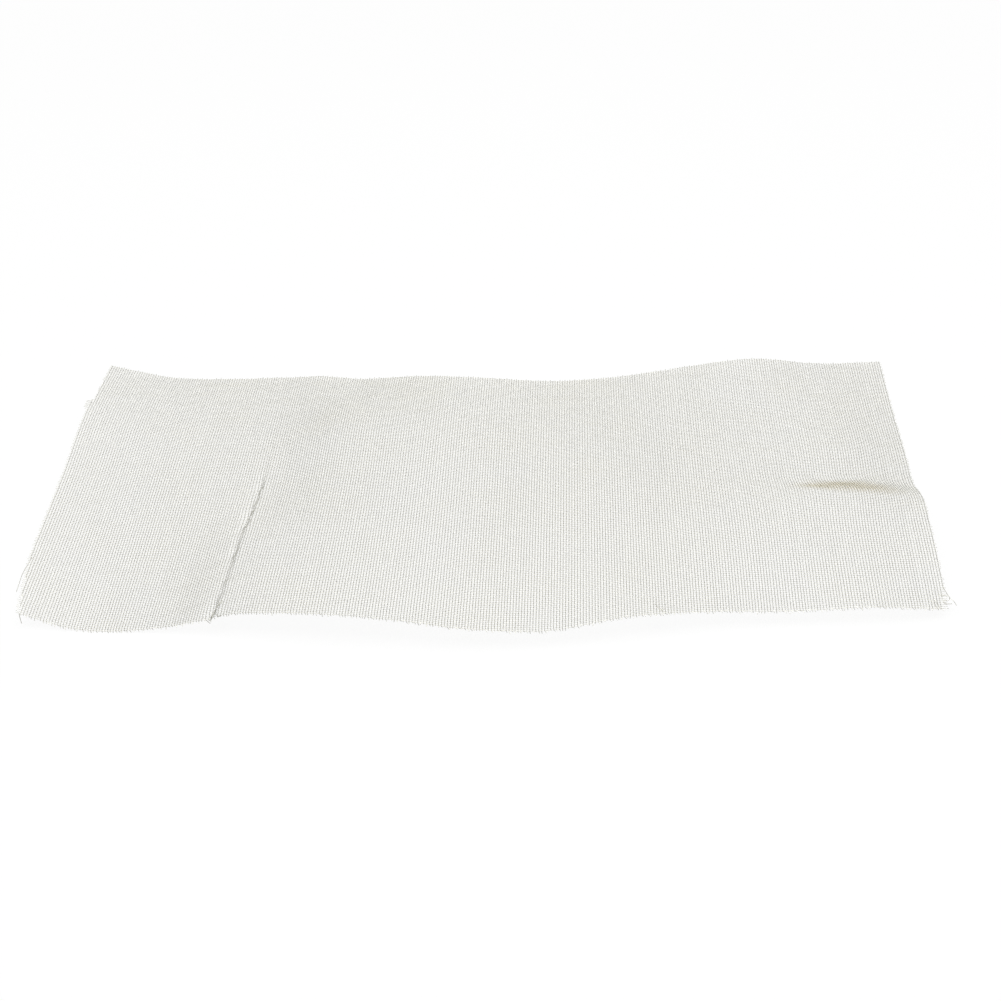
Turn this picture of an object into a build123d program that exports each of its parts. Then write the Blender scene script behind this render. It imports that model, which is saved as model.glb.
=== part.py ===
"""A cut sheet of plain woven wire gauze, lying loose on a bench.

The frame is in millimetres. +X runs along the long side, +Y from the front edge to the rear
edge and +Z up. The origin is on the bench, under the middle of the sheet.

The real cloth has 326 wires one way and 164 the other. Here each strand stands for the
bundle of wires that it covers, so the sheet is one wall of crossing ridges with open gaps,
about as open as the cloth. Each strand passes over one neighbour and under the next, as
every wire of the cloth does.
"""

from build123d import *
import math
import os

# The flat cloth, before it was bent
sheet_length = 200.0
sheet_depth = 100.0

# Strands: warps run front to rear, wefts run left to right
warp_count = 13
weft_count = 11
strand_width = 3.2
strand_thickness = 0.36
weave_lift = 0.10
cut_end = 0.5

# Heights above the bench along five lines that run left to right, from the rear edge
# to the front edge, each read at even steps from the left end to the right end
rear_edge = (3.0, 0.5, 0.0, 0.5, 1.0, 2.5, 2.5, 1.0, 0.5, 1.5, 3.0, 1.0, 0.5)
rear_line = (5.0, 2.5, 1.0, 1.5, 4.5, 5.0, 4.0, 4.0, 3.0, 2.5, 2.0, 2.0, 0.0)
middle_line = (3.5, 1.5, 1.0, 1.5, 4.0, 5.0, 3.5, 5.0, 5.0, 3.5, 3.5, 4.0, 1.5)
front_line = (3.0, 0.5, 0.5, 3.5, 5.0, 5.0, 3.5, 4.5, 4.0, 4.5, 5.0, 4.5, 4.0)
front_edge = (3.5, 0.0, 1.0, 5.0, 6.5, 6.0, 4.5, 3.5, 5.0, 4.0, 3.0, 3.5, 2.0)

# The cloth is pulled out of square: its middle lies this much nearer the front
bow = (8.5, 6.0, 5.5, 5.0, 3.0, 1.5, 0.0, 0.5, 3.0, 5.5, 6.5, 7.0, 8.0)

# Swells take up a little of the length, more so along the rippled front edge
length_take_up = 0.012
front_take_up = 0.005
front_ripple_start = 0.60

# The hard crease of an old fold, near the left end: steep on its left side, deeper in front
left_crease_middle = -53.7
left_crease_lean = 1.5
left_crease_rear_depth = 0.3
left_crease_front_depth = 1.2
left_crease_reach_left = 1.5
left_crease_reach_right = 3.5

# The faint crease near the right end
right_crease_middle = 42.8
right_crease_lean = 2.6
right_crease_depth = 0.25
right_crease_reach = 1.5

# The sharp rise across the right end, its branch out to the right edge, and how far the
# cloth in front of them is pushed to the right
rise_middle = (82.0, -8.5)
rise_direction = -3.0
rise_height = 0.7
rise_run = 2.0
rise_length = 12.0
branch_middle = (97.0, -5.0)
branch_direction = -28.0
branch_height = 0.6
branch_run = 3.5
branch_length = 10.0
shift_middle = (90.0, -7.5)
shift_direction = -8.0
shift_right = 0.8
shift_run = 2.5
shift_length = 16.0
step_fade = 12.0


def smooth(values, fraction):
    """Read a smooth curve through evenly spaced values at a fraction of its length."""
    last = len(values) - 1
    place = min(max(fraction, 0.0), 1.0) * last
    k = min(int(place), last - 1)
    t = place - k
    here = values[k]
    after = values[k + 1]
    before = values[k - 1] if k > 0 else 2 * here - after
    beyond = values[k + 2] if k + 2 <= last else 2 * after - here
    linear = after - before
    square = 2 * before - 5 * here + 4 * after - beyond
    cube = 3 * here - before - 3 * after + beyond
    return here + 0.5 * t * (linear + t * (square + t * cube))


def crease(distance, depth, reach_left, reach_right):
    """A valley with a sharp bottom line."""
    reach = reach_left if distance < 0 else reach_right
    return -depth * math.exp(-abs(distance) / reach)


def step(u, v, middle, direction, amount, run, length):
    """A sharp change across a line through the middle, dying out along and away from it."""
    turn = math.radians(direction)
    du = u - middle[0]
    dv = v - middle[1]
    along = du * math.cos(turn) + dv * math.sin(turn)
    across = du * math.sin(turn) - dv * math.cos(turn)
    fade = math.exp(-((along / length) ** 2) - (across / step_fade) ** 2)
    return amount * math.tanh(across / run) * fade


def left_crease_at(v):
    """Where the left crease runs at the flat depth v."""
    return left_crease_middle + left_crease_lean * 2 * v / sheet_depth


def height(u, v):
    """Height of the cloth's middle surface at the flat place u, v."""
    along = u / sheet_length + 0.5
    forward = 0.5 - v / sheet_depth
    lines = (rear_edge, rear_line, middle_line, front_line, front_edge)
    z = smooth([smooth(line, along) for line in lines], forward)
    left_depth = left_crease_rear_depth + forward * (left_crease_front_depth - left_crease_rear_depth)
    z += crease(u - left_crease_at(v), left_depth, left_crease_reach_left, left_crease_reach_right)
    right_crease_at = right_crease_middle + right_crease_lean * 2 * v / sheet_depth
    z += crease(u - right_crease_at, right_crease_depth, right_crease_reach, right_crease_reach)
    z += step(u, v, rise_middle, rise_direction, rise_height, rise_run, rise_length)
    z += step(u, v, branch_middle, branch_direction, branch_height, branch_run, branch_length)
    return z


def place(u, v):
    """Where the flat place u, v lies on the bench, as X, Y and height."""
    along = u / sheet_length + 0.5
    forward = 0.5 - v / sheet_depth
    ripple = max(forward - front_ripple_start, 0.0) / (1 - front_ripple_start)
    x = u * (1 - length_take_up - front_take_up * ripple**2)
    x += step(u, v, shift_middle, shift_direction, shift_right, shift_run, shift_length)
    y = v + smooth(bow, along)
    return Vector(x, y, height(u, v))


def lift_at(spot, starts, number):
    """Over or under level at a spot of a strand, level on each crossing and sloping between."""
    for k, start in enumerate(starts):
        lift = weave_lift * (-1) ** (k + number)
        if spot < start and k > 0:
            gap_start = starts[k - 1] + strand_width
            return lift * (2 * (spot - gap_start) / (start - gap_start) - 1)
        if spot <= start + strand_width:
            return lift
    return lift


def stations_of(starts, end, folds):
    """The spots where a strand bends: its ends, the edges of its crossings, the middles of
    its gaps, and the folds that fall in a gap."""
    gaps = [(a + strand_width, b) for a, b in zip(starts, starts[1:])]
    stations = [-end, end] + list(starts) + [start + strand_width for start in starts]
    stations += [(a + b) / 2 for a, b in gaps]
    stations += [fold for fold in folds for a, b in gaps if a < fold < b]
    return sorted(stations)


def woven_strand(starts, number, end, folds, side_a, side_b):
    """Loft one strand through its stations, given where it starts to cross each other one."""
    with BuildPart() as strand:
        for spot in stations_of(starts, end, folds):
            lift = lift_at(spot, starts, number)
            a = side_a(spot)
            b = side_b(spot)
            across = Vector(b.X - a.X, b.Y - a.Y, 0)
            half = across.length / 2
            centre = Vector((a.X + b.X) / 2, (a.Y + b.Y) / 2, 0)
            with BuildSketch(Plane(centre, x_dir=across, z_dir=across.cross(Vector(0, 0, 1)))):
                with BuildLine():
                    Polyline(
                        (-half, a.Z + lift - strand_thickness / 2),
                        (half, b.Z + lift - strand_thickness / 2),
                        (half, b.Z + lift + strand_thickness / 2),
                        (-half, a.Z + lift + strand_thickness / 2),
                        close=True,
                    )
                make_face()
        loft(ruled=True)
    return strand.part


half_length = sheet_length / 2
half_depth = sheet_depth / 2
warp_pitch = (sheet_length - 2 * cut_end - strand_width) / (warp_count - 1)
weft_pitch = (sheet_depth - 2 * cut_end - strand_width) / (weft_count - 1)
warp_starts = [cut_end - half_length + i * warp_pitch for i in range(warp_count)]
weft_starts = [cut_end - half_depth + j * weft_pitch for j in range(weft_count)]

strands = []
for i, u in enumerate(warp_starts):
    strands.append(
        woven_strand(
            weft_starts,
            i,
            half_depth,
            [rise_middle[1]],
            lambda v: place(u, v),
            lambda v: place(u + strand_width, v),
        )
    )
for j, v in enumerate(weft_starts):
    strands.append(
        woven_strand(
            warp_starts,
            j + 1,
            half_length,
            [left_crease_at(v)],
            lambda u: place(u, v),
            lambda u: place(u, v + strand_width),
        )
    )

with BuildPart() as gauze_sheet:
    add(strands)

box = gauze_sheet.part.bounding_box()
seat = Pos(-box.center().X, -box.center().Y, -box.min.Z)
gauze_sheet.part = seat * gauze_sheet.part

os.makedirs("parts", exist_ok=True)
gauze_sheet.part.label = "gauze_sheet"
export_step(gauze_sheet.part, "parts/gauze_sheet.step")
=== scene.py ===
import math

import bpy
import numpy as np
from mathutils import Matrix, Vector


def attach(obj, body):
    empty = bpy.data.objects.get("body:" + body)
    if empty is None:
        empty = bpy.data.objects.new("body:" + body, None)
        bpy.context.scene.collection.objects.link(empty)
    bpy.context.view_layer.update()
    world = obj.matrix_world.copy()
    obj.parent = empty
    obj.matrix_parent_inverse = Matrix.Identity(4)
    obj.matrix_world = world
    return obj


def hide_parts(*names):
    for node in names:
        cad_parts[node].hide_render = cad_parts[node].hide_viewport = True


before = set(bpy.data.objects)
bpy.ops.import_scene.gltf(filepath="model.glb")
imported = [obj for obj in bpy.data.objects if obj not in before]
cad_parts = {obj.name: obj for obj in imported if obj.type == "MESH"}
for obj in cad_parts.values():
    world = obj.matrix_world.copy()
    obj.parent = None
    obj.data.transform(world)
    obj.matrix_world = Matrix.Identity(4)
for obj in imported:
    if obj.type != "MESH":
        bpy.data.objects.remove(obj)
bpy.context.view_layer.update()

# The wire cloth
# One sheet of plain woven steel wire, cut on all four sides, bent in handling and laid loose
# on a bench. Its form comes first, in millimetres, as a surface over the flat sheet.
SHEET_LENGTH = 200.0
SHEET_DEPTH = 100.0

# Heights of the swells along five lines, each from the left end to the right end, and from
# the rear edge to the front edge. These and the bow below were not read by eye: they are the
# result of a least-squares fit to the photographed outline and wires, rounded to 0.5 mm
HEIGHT_LINES = (
    (3.0, 0.5, 0.0, 0.5, 1.0, 2.5, 2.5, 1.0, 0.5, 1.5, 3.0, 1.0, 0.5),
    (5.0, 2.5, 1.0, 1.5, 4.5, 5.0, 4.0, 4.0, 3.0, 2.5, 2.0, 2.0, 0.0),
    (3.5, 1.5, 1.0, 1.5, 4.0, 5.0, 3.5, 5.0, 5.0, 3.5, 3.5, 4.0, 1.5),
    (3.0, 0.5, 0.5, 3.5, 5.0, 5.0, 3.5, 4.5, 4.0, 4.5, 5.0, 4.5, 4.0),
    (3.5, 0.0, 1.0, 5.0, 6.5, 6.0, 4.5, 3.5, 5.0, 4.0, 3.0, 3.5, 2.0),
)

# The cloth is pulled out of square: its middle lies this much nearer the front
BOW = (8.5, 6.0, 5.5, 5.0, 3.0, 1.5, 0.0, 0.5, 3.0, 5.5, 6.5, 7.0, 8.0)

# Swells take up a little of the length, more so along the rippled front edge
LENGTH_TAKE_UP = 0.012
FRONT_TAKE_UP = 0.005
FRONT_RIPPLE_START = 0.60

# The hard crease of an old fold near the left end: a jagged valley, steep on its right side,
# with places where the warps are pinched together. From the front edge to the rear edge:
# flat depth, place from left to right, depth of the valley, and pinch as a share of the pitch
CREASE_STATIONS = (
    (-50.0, -55.3, 0.80, 0.7),
    (-46.0, -54.9, 0.60, 0.5),
    (-42.0, -54.7, 0.30, 0.0),
    (-38.0, -54.4, 0.35, 0.2),
    (-34.0, -54.2, 0.25, 0.0),
    (-27.0, -53.8, 0.50, 0.5),
    (-20.0, -53.6, 0.25, 0.1),
    (-13.0, -53.0, 0.75, 0.8),
    (-5.0, -52.5, 0.40, 0.2),
    (0.5, -52.2, 0.60, 0.6),
    (5.0, -52.0, 0.20, 0.2),
    (12.0, -52.0, 0.06, 0.1),
    (50.0, -51.8, 0.04, 0.0),
)
CREASE_AT, CREASE_LINE, CREASE_DEPTH, CREASE_PINCH = zip(*CREASE_STATIONS)
CREASE_REACHES = (1.8, 0.5)
PINCH_REACH = 1.1

# The hard crease wanders in two waves: how far each goes to a side, and its length
JAGS = ((0.14, 5.3), (0.10, 2.3))

# The faint crease near the right end
RIGHT_CREASE_MIDDLE = 42.8
RIGHT_CREASE_LEAN = 2.6
RIGHT_CREASE_DEPTH = 0.15
RIGHT_CREASE_REACHES = (1.2, 1.0)

# A low swell at the rear edge, just right of the hard crease
REAR_SWELL_MIDDLE = (-43.0, 50.0)
REAR_SWELL_HEIGHT = 0.5
REAR_SWELL_REACH = (6.0, 14.0)

# Slight cockles all over, from handling: the height of each wave, its length, and its
# direction in degrees
COCKLES = ((0.025, 7.3, 80.0), (0.020, 5.1, 62.0), (0.018, 4.3, 105.0), (0.02, 9.7, 20.0))
COCKLE_BEND = 1.8
COCKLE_BEND_LENGTH = 37.0

# The sharp rise across the right end, its branch out to the right edge, and how far the
# cloth in front of them is pushed to the right
RISE = {"middle": (80.0, -8.0), "direction": -3.0, "amount": 1.6, "run": 4.6, "length": 11.0}
BRANCH = {"middle": (94.0, -5.0), "direction": -32.0, "amount": 0.45, "run": 4.5, "length": 11.0}
SHIFT = {"middle": (90.0, -7.5), "direction": -8.0, "amount": 0.8, "run": 2.5, "length": 16.0}
STEP_FADE = 12.0


def smooth(values, fraction):
    """Read a smooth curve through evenly spaced values, each a number or an array."""
    last = len(values) - 1
    spot = np.clip(fraction, 0.0, 1.0) * last
    k = np.minimum(spot.astype(int), last - 1)
    t = spot - k
    ends = [2 * values[0] - values[1], 2 * values[-1] - values[-2]]
    table = [np.broadcast_to(value, t.shape) for value in (ends[0], *values, ends[1])]
    before, here, after, beyond = (np.choose(k + turn, table) for turn in range(4))
    square = 2 * before - 5 * here + 4 * after - beyond
    cube = 3 * here - before - 3 * after + beyond
    return here + 0.5 * t * (after - before + t * (square + t * cube))


def from_crease(u, v):
    """How far to the right of the hard crease's line a flat place lies."""
    jag = sum(size * np.sin(2 * math.pi * v / length) for size, length in JAGS)
    return u - np.interp(v, CREASE_AT, CREASE_LINE) - jag


def valley(distance, depth, reaches):
    """A valley with a sharp bottom line, and its own reach on each side."""
    reach = np.where(distance < 0, reaches[0], reaches[1])
    return -depth * np.exp(-np.abs(distance) / reach)


def step(u, v, middle, direction, amount, run, length):
    """A sharp change across a line through the middle, dying out along and away from it."""
    turn = math.radians(direction)
    du = u - middle[0]
    dv = v - middle[1]
    along = du * math.cos(turn) + dv * math.sin(turn)
    across = du * math.sin(turn) - dv * math.cos(turn)
    fade = np.exp(-((along / length) ** 2) - (across / STEP_FADE) ** 2)
    return amount * np.tanh(across / run) * fade


def cockles(u, v):
    """Small waves across the cloth, in lines that wander. A wave's direction is its phase too."""
    bend = COCKLE_BEND * np.sin(2 * math.pi * u / COCKLE_BEND_LENGTH)
    z = 0.0
    for size, length, direction in COCKLES:
        turn = math.radians(direction)
        across = u * math.cos(turn) + v * math.sin(turn)
        z = z + size * np.sin(2 * math.pi * across / length + bend + direction)
    return z


def rear_swell(u, v):
    """A round-topped swell that dies out over its reach."""
    du = (u - REAR_SWELL_MIDDLE[0]) / REAR_SWELL_REACH[0]
    dv = (v - REAR_SWELL_MIDDLE[1]) / REAR_SWELL_REACH[1]
    return REAR_SWELL_HEIGHT * np.exp(-(du**2) - dv**2)


def place(u, v):
    """X, Y and height in millimetres of the flat places u, v."""
    along = u / SHEET_LENGTH + 0.5
    forward = 0.5 - v / SHEET_DEPTH
    lean = 2 * v / SHEET_DEPTH
    left_distance = from_crease(u, v)
    right_distance = u - RIGHT_CREASE_MIDDLE - RIGHT_CREASE_LEAN * lean
    z = smooth([smooth(line, along) for line in HEIGHT_LINES], forward)
    z = z + valley(left_distance, np.interp(v, CREASE_AT, CREASE_DEPTH), CREASE_REACHES)
    z = z + valley(right_distance, RIGHT_CREASE_DEPTH, RIGHT_CREASE_REACHES)
    z = z + step(u, v, **RISE) + step(u, v, **BRANCH)
    z = z + rear_swell(u, v) + cockles(u, v)
    ripple = np.maximum(forward - FRONT_RIPPLE_START, 0.0) / (1 - FRONT_RIPPLE_START)
    x = u * (1 - LENGTH_TAKE_UP - FRONT_TAKE_UP * ripple**2) + step(u, v, **SHIFT)
    pinch = np.interp(v, CREASE_AT, CREASE_PINCH) * np.exp(-((left_distance / PINCH_REACH) ** 2))
    x = x - pinch * left_distance
    y = v + smooth(BOW, along)
    return np.stack([x, y, z], axis=-1)


# The wire
# Drawn steel, 0.15 mm thick and woven bare: a grey metal with a soft gloss, in patches a
# little yellower where it has dulled. It gives back the white room around it.
MM = 0.001
WIRE = 0.15
STEEL_COLOUR = "C2C2BD"
DULLED_COLOUR = "C1BFB3"
DULLED_PATCH = 15.0
DULLED_DETAIL = 3.0
ROUGHNESS = 0.25

# Painted shade: a darker, yellower streak painted along the sharp rise, where the wires shade one
# another at the fold.
# Its place in millimetres from the sheet's middle, half its length, width and depth, and the
# share of them at which it starts to fade
FOLD_SHADE_COLOUR = "B0AA95"
FOLD_SHADE_MIDDLE = (82.5, -5.6, 4.0)
FOLD_SHADE_SIZE = (15.0, 4.6, 20.0)
FOLD_SHADE_DIRECTION = -5.0
FOLD_SHADE_CORE = 0.35


def linear(hex_colour):
    """An sRGB hex colour as linear red, green, blue and alpha, by the standard curve."""
    parts = [int(hex_colour[k : k + 2], 16) / 255 for k in (0, 2, 4)]
    return [c / 12.92 if c <= 0.04045 else ((c + 0.055) / 1.055) ** 2.4 for c in parts] + [1.0]


def add_node(tree, kind, settings=(), **links):
    """Add a node, set its values by name or socket and link its inputs."""
    node = tree.nodes.new(kind)
    for name, value in dict(settings).items():
        if name in node.inputs:
            node.inputs[name].default_value = value
        else:
            setattr(node, name, value)
    for name, source in links.items():
        tree.links.new(source, node.inputs[name.replace("_", " ")])
    return node


drawn_steel = bpy.data.materials.new("drawn_steel_wire")
drawn_steel.use_nodes = True
tree = drawn_steel.node_tree
tree.nodes.clear()
spots = add_node(tree, "ShaderNodeTexCoord")
dulled = add_node(
    tree,
    "ShaderNodeTexNoise",
    {"Scale": 1 / (DULLED_PATCH * MM), "Detail": DULLED_DETAIL},
    Vector=spots.outputs["Object"],
)
tint = add_node(tree, "ShaderNodeMix", {"data_type": "RGBA"}, Factor=dulled.outputs["Fac"])
tint.inputs["A"].default_value = linear(STEEL_COLOUR)
tint.inputs["B"].default_value = linear(DULLED_COLOUR)
# Painted shade along the fold: near the sharp rise the wire's colour turns to the darker,
# yellower streak colour
fold_shade_spots = add_node(
    tree,
    "ShaderNodeMapping",
    {
        "vector_type": "TEXTURE",
        "Location": [c * MM for c in FOLD_SHADE_MIDDLE],
        "Rotation": (0.0, 0.0, math.radians(FOLD_SHADE_DIRECTION)),
        "Scale": [c * MM for c in FOLD_SHADE_SIZE],
    },
    Vector=spots.outputs["Object"],
)
from_fold_shade = add_node(
    tree, "ShaderNodeVectorMath", {"operation": "LENGTH"}, Vector=fold_shade_spots.outputs["Vector"]
)
fold_shade = add_node(
    tree,
    "ShaderNodeMapRange",
    {
        "interpolation_type": "SMOOTHSTEP",
        "From Min": FOLD_SHADE_CORE,
        "From Max": 1.0,
        "To Min": 1.0,
        "To Max": 0.0,
    },
    Value=from_fold_shade.outputs["Value"],
)
painted_fold_shade = add_node(tree, "ShaderNodeMix", {"data_type": "RGBA"}, Factor=fold_shade.outputs["Result"])
tree.links.new(tint.outputs["Result"], painted_fold_shade.inputs["A"])
painted_fold_shade.inputs["B"].default_value = linear(FOLD_SHADE_COLOUR)
steel = add_node(tree, "ShaderNodeBsdfPrincipled", {"Metallic": 1.0, "Roughness": ROUGHNESS})
tree.links.new(painted_fold_shade.outputs["Result"], steel.inputs["Base Color"])
add_node(tree, "ShaderNodeOutputMaterial", Surface=steel.outputs["BSDF"])

# The warps
# 326 wires from the rear edge to the front edge, in plain weave: each passes over one weft
# and under the next. Its cut ends stand a little past the last weft, and lean in front.
WARPS = 326
WEFTS = 164
CUT_END = 0.3

# The loom's unevenness: a drift that adds up from wire to wire, and a slip of each wire
SPACING_DRIFT = 0.010
SPACING_SLIP = 0.010

# How far the cut ends stand past the last weft, and in front lean to the right and droop
REAR_ENDS = (0.2, 0.6)
FRONT_ENDS = (0.2, 0.75)
FRONT_LEAN = (-0.1, 0.45)
FRONT_DROOP = (0.0, 0.3)
SEED = 7
rng = np.random.default_rng(SEED)


def wire_places(count, length):
    """Nearly even places of parallel wires, with the loom's small unevenness."""
    even = np.linspace(CUT_END - length / 2, length / 2 - CUT_END, count)
    drift = np.cumsum(rng.normal(0.0, SPACING_DRIFT, count))
    drift = drift - np.linspace(drift[0], drift[-1], count)
    return even + drift + rng.normal(0.0, SPACING_SLIP, count)


warp_places = wire_places(WARPS, SHEET_LENGTH)
weft_places = wire_places(WEFTS, SHEET_DEPTH)

# The left side's cut line: wefts stick out at the jog, and the cut runs in at the front
LEFT_CUT_AT = (-50.0, -31.0, 26.0, 28.0, 30.6, 31.0, 50.0)
LEFT_CUT = (-98.1, -100.0, -100.0, -101.0, -101.0, -99.0, -99.5)


def left_cut(v):
    """Where the left cut runs at the flat depth v."""
    return np.interp(v, LEFT_CUT_AT, LEFT_CUT)


# Warps near the sides that have come out of the weave, by number, and the flat depth at
# which each now starts in front, or ends at the jog
SHORT_WARPS = {0: -31.0, 1: -38.0, 2: -44.0, 3: -47.5, 324: -47.0, 325: -44.2}
JOG_WARPS = {0: 30.6}

# The sheet is seated on the bench, with its middle over the origin
SEAT_STEP = 0.5
seat_u = np.linspace(-SHEET_LENGTH / 2, SHEET_LENGTH / 2, round(SHEET_LENGTH / SEAT_STEP) + 1)
seat_v = np.linspace(-SHEET_DEPTH / 2, SHEET_DEPTH / 2, round(SHEET_DEPTH / SEAT_STEP) + 1)
cloth = place(*np.meshgrid(seat_u, seat_v)).reshape(-1, 3)
low = cloth.min(axis=0)
high = cloth.max(axis=0)
seat = np.array([(low[0] + high[0]) / 2, (low[1] + high[1]) / 2, low[2] - WIRE])


def with_ends(first, middle, last):
    """One row of values, with one more at each end."""
    return np.concatenate([[first], middle, [last]])


def over_and_under(points, turns):
    """Lift the points of a wire over and under in turn, and seat it."""
    points[:, 2] += np.where(turns % 2 == 0, 0.5, -0.5) * WIRE
    return points - seat


def above_bench(points):
    """Keep a wire's droop from going through the bench."""
    points[:, 2] = np.maximum(points[:, 2], WIRE / 2)
    return points


# A smooth wire follows its points as a curve of this order, in this many steps to each point
SMOOTH_ORDER = 3
SMOOTH_STEPS = 6


def wire_piece(name, lines, kind="POLY"):
    """One piece of many wires, each a closed four-sided tube, bent or smooth at its points."""
    curve = bpy.data.curves.new(name, "CURVE")
    curve.dimensions = "3D"
    curve.bevel_depth = WIRE / 2 * MM
    curve.bevel_resolution = 0
    curve.use_fill_caps = True
    for line in lines:
        spline = curve.splines.new(kind)
        spline.points.add(len(line) - 1)
        spots_in_m = np.ones((len(line), 4))
        spots_in_m[:, :3] = line * MM
        spline.points.foreach_set("co", spots_in_m.ravel())
        if kind == "NURBS":
            spline.order_u = SMOOTH_ORDER
            spline.use_endpoint_u = True
            spline.resolution_u = SMOOTH_STEPS
    piece = bpy.data.objects.new(name, curve)
    bpy.context.collection.objects.link(piece)
    curve.materials.append(drawn_steel)
    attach(piece, "root")
    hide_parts("gauze_sheet")


def wire_pieces(name, lines, groups):
    """Share parallel wires out to a few pieces that lie side by side."""
    for group in range(groups):
        first = len(lines) * group // groups
        last = len(lines) * (group + 1) // groups
        wire_piece(f"{name}_{group + 1}", lines[first:last])


WARP_GROUPS = 3
warp_lines = []
for i, u in enumerate(warp_places):
    numbers = np.arange(WEFTS)
    front = SHORT_WARPS.get(i, -SHEET_DEPTH)
    rear = JOG_WARPS.get(i, SHEET_DEPTH)
    numbers = numbers[(weft_places > front) & (weft_places < rear)]
    crossings = weft_places[numbers]
    front_end = crossings[0] - rng.uniform(*FRONT_ENDS)
    rear_end = crossings[-1] + rng.uniform(*REAR_ENDS)
    run = with_ends(front_end, crossings, rear_end)
    across = np.full_like(run, u)
    across[0] += rng.uniform(*FRONT_LEAN)
    turns = i + with_ends(numbers[0] - 1, numbers, numbers[-1] + 1)
    points = over_and_under(place(across, run), turns)
    points[0, 2] -= rng.uniform(*FRONT_DROOP)
    warp_lines.append(above_bench(points))
wire_pieces("warps", warp_lines, WARP_GROUPS)

# The wefts
# 164 wires from the left side to the right side, each over the warps that pass under it and
# under the others. The shears left their ends uneven.
SIDE_ENDS = (0.1, 0.6)
WEFT_GROUPS = 3
weft_lines = []
for j, v in enumerate(weft_places):
    numbers = np.arange(WARPS)
    start = left_cut(v)
    numbers = numbers[warp_places > start]
    crossings = warp_places[numbers]
    left_end = start - rng.uniform(*SIDE_ENDS) + SIDE_ENDS[0]
    right_end = crossings[-1] + rng.uniform(*SIDE_ENDS)
    run = with_ends(left_end, crossings, right_end)
    turns = 1 + j + with_ends(numbers[0] - 1, numbers, numbers[-1] + 1)
    weft_lines.append(over_and_under(place(run, np.full_like(run, v)), turns))
wire_pieces("wefts", weft_lines, WEFT_GROUPS)

# The loose wires
# Ends that have worked out of the weave at the corners and at the feet of the two creases.
# Each runs through flat places on the cloth, with its height over the cloth as a third value.
LOOSE_WIRES = (
    # The warp that leaves the front-left corner, and a stray end at its foot
    (
        (-99.7, -30.5, 0.0),
        (-99.4, -32.0, 0.1),
        (-100.0, -35.4, 0.0),
        (-100.2, -38.0, -0.3),
        (-100.4, -41.8, -1.2),
    ),
    ((-97.6, -49.6, 0.0), (-97.5, -50.2, -0.6), (-97.2, -50.6, -2.0)),
    # The bunch at the foot of the hard crease, with its hook and fine ends
    ((-53.4, -44.2, 0.0), (-54.2, -45.6, 0.2), (-54.6, -47.6, 0.2), (-55.0, -49.4, 0.1)),
    ((-53.6, -44.6, 0.0), (-54.3, -45.9, 0.25), (-54.7, -47.6, 0.3), (-55.2, -49.7, 0.0)),
    ((-53.3, -45.0, 0.0), (-54.0, -46.0, 0.2), (-54.5, -47.8, 0.3), (-54.8, -49.6, -0.1)),
    ((-54.2, -47.6, 0.1), (-54.2, -48.8, 0.2), (-53.6, -50.0, -0.3), (-52.8, -50.2, 0.2)),
    ((-57.2, -48.9, 0.1), (-56.8, -49.6, 0.0), (-56.0, -49.8, -1.0)),
    ((-56.2, -49.2, 0.1), (-55.8, -49.8, -0.3), (-55.0, -49.4, -0.3), (-54.4, -49.0, 0.2)),
    # The hook and the short end at the foot of the faint crease
    ((38.6, -46.6, 0.1), (39.0, -47.4, 0.2), (40.0, -49.2, -0.1), (40.4, -48.6, 0.4)),
    ((39.6, -48.2, 0.1), (40.0, -48.6, 0.2), (40.6, -49.4, -0.2)),
    # The warp, the curled weft and the two leaning ends at the front-right corner
    (
        (99.7, -43.4, 0.0),
        (100.0, -44.4, 0.0),
        (100.6, -46.8, 0.2),
        (101.4, -47.4, 0.0),
        (102.0, -48.0, -0.8),
    ),
    (
        (98.4, -45.9, 0.0),
        (99.2, -45.9, 0.2),
        (100.8, -46.6, 0.4),
        (100.3, -47.8, 0.3),
        (99.0, -47.4, 0.0),
        (99.4, -48.3, -0.2),
        (101.0, -48.0, -0.3),
    ),
    ((96.6, -47.4, 0.1), (97.0, -48.0, 0.0), (98.0, -49.2, -0.8)),
    ((97.3, -47.2, 0.1), (97.6, -47.8, 0.0), (98.6, -49.2, -0.8)),
)
loose_lines = []
for wire in LOOSE_WIRES:
    flat = np.array(wire)
    points = place(flat[:, 0], flat[:, 1])
    points[:, 2] += flat[:, 2]
    loose_lines.append(above_bench(points - seat))
wire_piece("loose_wires", loose_lines, "NURBS")

# The bench
# A white table top that fades into a white room. The camera and bright metal see it plain
# white, and near the sheet it keeps the soft shadow.
FLOOR_SIZE = 6.0
BENCH_COLOUR = "E7E7E7"
WHITE = "FFFFFF"

# The share of the white that takes shadows near the sheet, and where it fades away, in metres
SHADE_SHARE = 0.14
SHADE_NEAR = 0.25
SHADE_FAR = 0.60
bpy.ops.mesh.primitive_plane_add(size=FLOOR_SIZE)
floor = bpy.context.object
floor.name = "bench"


def rays_that_see(tree):
    """1 for the rays that should meet plain white: the camera's and the metal's."""
    path = add_node(tree, "ShaderNodeLightPath")
    kinds = [path.outputs[f"Is {kind} Ray"] for kind in ("Camera", "Glossy", "Transmission")]
    seen = kinds[0]
    for kind in kinds[1:]:
        both = add_node(tree, "ShaderNodeMath", {"operation": "MAXIMUM"})
        tree.links.new(seen, both.inputs[0])
        tree.links.new(kind, both.inputs[1])
        seen = both.outputs[0]
    return seen


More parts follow.
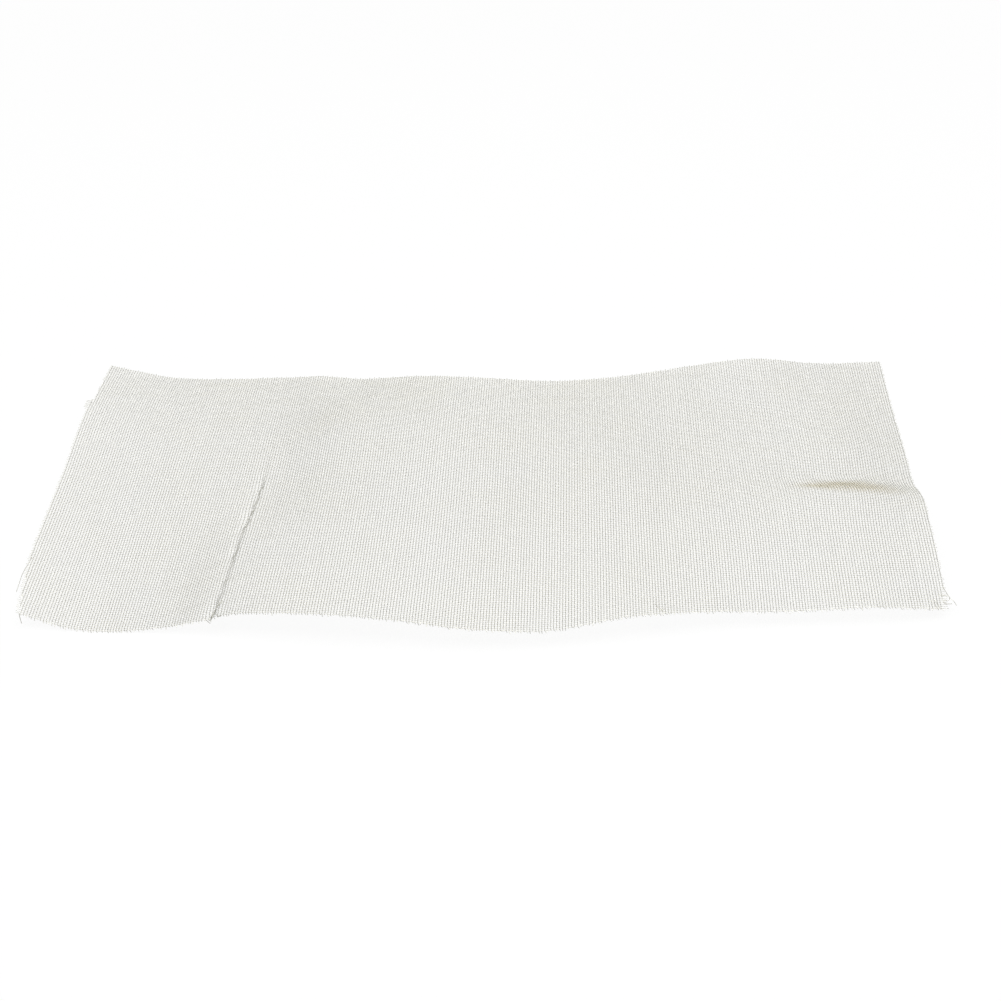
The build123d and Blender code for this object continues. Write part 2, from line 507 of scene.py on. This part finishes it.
white = bpy.data.materials.new("white_bench")
white.use_nodes = True
tree = white.node_tree
tree.nodes.clear()
here = add_node(tree, "ShaderNodeTexCoord")
distance = add_node(
    tree, "ShaderNodeVectorMath", {"operation": "LENGTH"}, Vector=here.outputs["Object"]
)
share = add_node(
    tree,
    "ShaderNodeMapRange",
    {
        "interpolation_type": "SMOOTHSTEP",
        "From Min": SHADE_NEAR,
        "From Max": SHADE_FAR,
        "To Min": SHADE_SHARE,
        "To Max": 0.0,
    },
    Value=distance.outputs["Value"],
)
paint = add_node(tree, "ShaderNodeBsdfDiffuse", {"Color": linear(BENCH_COLOUR)})
shade = add_node(tree, "ShaderNodeBsdfDiffuse", {"Color": linear(WHITE)})
glow = add_node(tree, "ShaderNodeEmission", {"Strength": 1.0})
lit = add_node(tree, "ShaderNodeMixShader", Fac=share.outputs["Result"])
tree.links.new(glow.outputs[0], lit.inputs[1])
tree.links.new(shade.outputs[0], lit.inputs[2])
mixed = add_node(tree, "ShaderNodeMixShader", Fac=rays_that_see(tree))
tree.links.new(paint.outputs[0], mixed.inputs[1])
tree.links.new(lit.outputs[0], mixed.inputs[2])
add_node(tree, "ShaderNodeOutputMaterial", Surface=mixed.outputs[0])
floor.data.materials.append(white)

# The room
# White all round, so that the background is white in the picture and in the wire. It adds
# only part of the light, and the lamp adds the rest.
ROOM_LIGHT = 0.23
world = bpy.data.worlds.new("white_room")
bpy.context.scene.world = world
world.use_nodes = True
tree = world.node_tree
tree.nodes.clear()
strength = add_node(
    tree, "ShaderNodeMapRange", {"To Min": ROOM_LIGHT, "To Max": 1.0}, Value=rays_that_see(tree)
)
room = add_node(
    tree,
    "ShaderNodeBackground",
    {"Color": linear(WHITE)},
    Strength=strength.outputs["Result"],
)
add_node(tree, "ShaderNodeOutputWorld", Surface=room.outputs[0])

# The lamp
# One wide soft lamp straight above the cloth. It shines along the tops of the wefts and
# leaves the warps darker, and its width keeps the tone even over the swells.
LAMP_WIDTH = 1.6
LAMP_LENGTH = 0.8
LAMP_POWER = 10.5
LAMP_AT = (0.0, -0.05, 0.9)
lamp_data = bpy.data.lights.new("soft_lamp", "AREA")
lamp_data.shape = "RECTANGLE"
lamp_data.size = LAMP_WIDTH
lamp_data.size_y = LAMP_LENGTH
lamp_data.energy = LAMP_POWER
lamp = bpy.data.objects.new("soft_lamp", lamp_data)
lamp.location = LAMP_AT
bpy.context.collection.objects.link(lamp)

# The camera
# Looks down on the sheet from in front, from a little right of its middle. Its place is in
# metres and its angles are in degrees, solved from the photographed outline and wires.
CAMERA_AT = (0.0242, -0.3194, 0.2298)
CAMERA_YAW = -3.62
CAMERA_PITCH = 35.93
CAMERA_ROLL = -2.83
PHOTO_WIDTH = 1001
FOCAL_IN_PIXELS = 1704
SENSOR_WIDTH = 36.0
NEAREST_SEEN = 0.01
camera_data = bpy.data.cameras.new("camera")
camera_data.sensor_width = SENSOR_WIDTH
camera_data.lens = SENSOR_WIDTH * FOCAL_IN_PIXELS / PHOTO_WIDTH
camera_data.clip_start = NEAREST_SEEN
camera = bpy.data.objects.new("camera", camera_data)
aim = (
    Matrix.Rotation(math.radians(-CAMERA_YAW), 4, "Z")
    @ Matrix.Rotation(math.radians(90 - CAMERA_PITCH), 4, "X")
    @ Matrix.Rotation(math.radians(CAMERA_ROLL), 4, "Z")
)
camera.matrix_world = Matrix.Translation(Vector(CAMERA_AT)) @ aim
bpy.context.collection.objects.link(camera)
bpy.context.scene.camera = camera
bpy.context.scene.view_settings.view_transform = "Standard"
